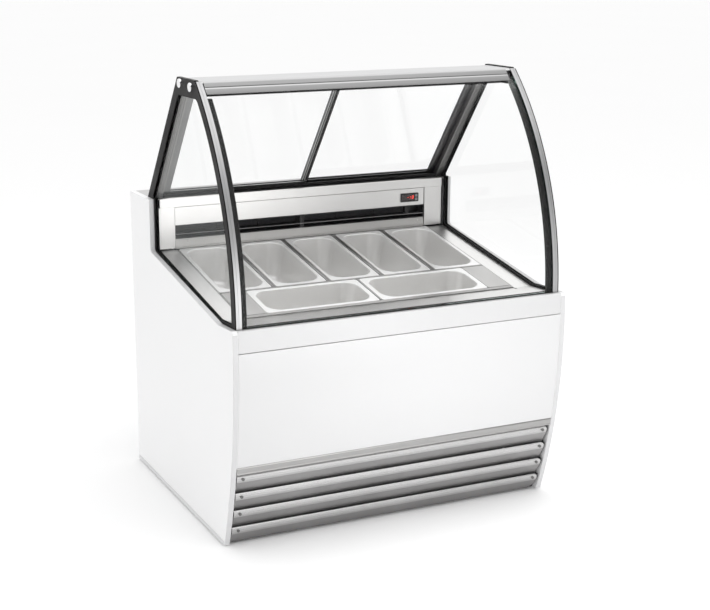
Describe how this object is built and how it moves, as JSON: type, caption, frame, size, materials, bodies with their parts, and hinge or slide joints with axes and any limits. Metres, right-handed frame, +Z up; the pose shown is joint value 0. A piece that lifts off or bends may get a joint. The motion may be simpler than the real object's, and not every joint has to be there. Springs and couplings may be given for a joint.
{
  "type": "scooping display freezer",
  "caption": "White scooping display freezer: bowed front, stainless well of open pans, curved glass canopy on aluminium arches, sliding rear doors.",
  "frame": {"origin": "on the floor, under the middle of the cabinet's outline", "axes": "+X left to right as the customer sees it, +Z up, the customer's side faces -Y and the operator's sliding doors face +Y"},
  "size_m": [1.066, 0.88, 1.3],
  "materials": {
    "white_panel": "satin powder coat",
    "white_front": "satin powder coat",
    "grey_panel": "galvanised and coated",
    "foam_body": "foamed body",
    "stainless": "brushed",
    "stainless_slat": "brushed",
    "pan_steel": "polished rim, satin inside",
    "black_steel": "matt",
    "black_plastic": "matt",
    "black_border": "gloss",
    "black_rubber": "matt",
    "display_window": "gloss",
    "key_grey": "matt",
    "aluminium": "natural anodised",
    "chrome": "polished",
    "clear_glass": "clear"
  },
  "bodies": {
    "cabinet": {"side_panel_left": "white_panel", "side_panel_right": "white_panel", "base_frame": "black_steel", "levelling_feet": "black_plastic", "rear_service_panel": "grey_panel", "front_fascia": "white_front", "front_panel": "white_front", "trim_strip": "stainless", "louvre_1": "stainless_slat", "louvre_2": "stainless_slat", "louvre_3": "stainless_slat", "louvre_4": "stainless_slat", "louvre_carrier": "black_steel", "louvre_screws": "chrome", "tub_insulation": "foam_body", "tub_liner": "stainless", "deck_frame": "stainless", "pan_support": "stainless", "worktop": "stainless", "rear_fascia": "stainless", "column_left": "stainless", "column_right": "stainless", "air_outlet": "black_plastic", "air_ramp": "stainless", "controller_bezel": "black_plastic", "controller_display": "display_window", "side_frame_left": "black_border", "side_frame_right": "black_border", "side_glass_left": "clear_glass", "side_glass_right": "clear_glass", "arch_left": "aluminium", "arch_right": "aluminium", "front_glass_seal": "black_rubber", "top_rail": "aluminium", "cap_screws": "chrome", "rear_post_left": "aluminium", "rear_post_right": "aluminium", "door_track_bottom": "black_plastic", "compressor": "black_steel", "condenser_coil": "aluminium", "evaporator_coil": "aluminium"},
    "front_glass_unit": {"glass_carrier": "aluminium", "front_glass": "clear_glass"},
    "door_left": {"door_left_frame": "aluminium", "door_left_glass": "clear_glass"},
    "door_right": {"door_right_frame": "aluminium", "door_right_glass": "clear_glass"},
    "filler_left_plate": {"filler_left": "stainless"},
    "filler_right_plate": {"filler_right": "stainless"},
    "key_up": {"controller_key_1": "key_grey"},
    "key_down": {"controller_key_2": "key_grey"},
    "condenser_impeller": {"condenser_fan": "black_plastic"},
    "evaporator_impeller": {"evaporator_fan": "black_plastic"},
    "pan_body_1": {"pan_1": "pan_steel"},
    "pan_body_2": {"pan_2": "pan_steel"},
    "pan_body_3": {"pan_3": "pan_steel"},
    "pan_body_4": {"pan_4": "pan_steel"},
    "pan_body_5": {"pan_5": "pan_steel"},
    "pan_body_6": {"pan_6": "pan_steel"},
    "pan_body_7": {"pan_7": "pan_steel"}
  },
  "joints": [
    {"name": "front_glass_hinge", "type": "hinge", "parent": "cabinet", "child": "front_glass_unit", "pos_m": [0, -0.142, 1.287], "axis": [-1, 0, 0], "range_deg": [0, 55]},
    {"name": "door_left_slide", "type": "slide", "parent": "cabinet", "child": "door_left", "axis": [1, 0, 0], "range_m": [0, 0.45]},
    {"name": "door_right_slide", "type": "slide", "parent": "cabinet", "child": "door_right", "axis": [-1, 0, 0], "range_m": [0, 0.45]},
    {"name": "pan_1_lift", "type": "slide", "parent": "cabinet", "child": "pan_body_1", "axis": [0, -0.1714, 0.9852], "range_m": [0, 0.13]},
    {"name": "pan_2_lift", "type": "slide", "parent": "cabinet", "child": "pan_body_2", "axis": [0, -0.1714, 0.9852], "range_m": [0, 0.13]},
    {"name": "pan_3_lift", "type": "slide", "parent": "cabinet", "child": "pan_body_3", "axis": [0, -0.1714, 0.9852], "range_m": [0, 0.13]},
    {"name": "pan_4_lift", "type": "slide", "parent": "cabinet", "child": "pan_body_4", "axis": [0, -0.1714, 0.9852], "range_m": [0, 0.13]},
    {"name": "pan_5_lift", "type": "slide", "parent": "cabinet", "child": "pan_body_5", "axis": [0, -0.1714, 0.9852], "range_m": [0, 0.13]},
    {"name": "pan_6_lift", "type": "slide", "parent": "cabinet", "child": "pan_body_6", "axis": [0, -0.1714, 0.9852], "range_m": [0, 0.13]},
    {"name": "pan_7_lift", "type": "slide", "parent": "cabinet", "child": "pan_body_7", "axis": [0, -0.1714, 0.9852], "range_m": [0, 0.13]},
    {"name": "filler_left_lift", "type": "slide", "parent": "cabinet", "child": "filler_left_plate", "axis": [0, -0.1714, 0.9852], "range_m": [0, 0.03]},
    {"name": "filler_right_lift", "type": "slide", "parent": "cabinet", "child": "filler_right_plate", "axis": [0, -0.1714, 0.9852], "range_m": [0, 0.03]},
    {"name": "key_up_press", "type": "slide", "parent": "cabinet", "child": "key_up", "axis": [0, 1, 0], "range_m": [0, 0.0005], "stiffness_N_per_m": 900},
    {"name": "key_down_press", "type": "slide", "parent": "cabinet", "child": "key_down", "axis": [0, 1, 0], "range_m": [0, 0.0005], "stiffness_N_per_m": 900},
    {"name": "condenser_fan_spin", "type": "hinge", "parent": "cabinet", "child": "condenser_impeller", "pos_m": [0.24, -0.135, 0.215], "axis": [0, 1, 0], "continuous": true},
    {"name": "evaporator_fan_spin", "type": "hinge", "parent": "cabinet", "child": "evaporator_impeller", "pos_m": [0.31, 0.115, 0.48], "axis": [0, 1, 0], "continuous": true}
  ]
}
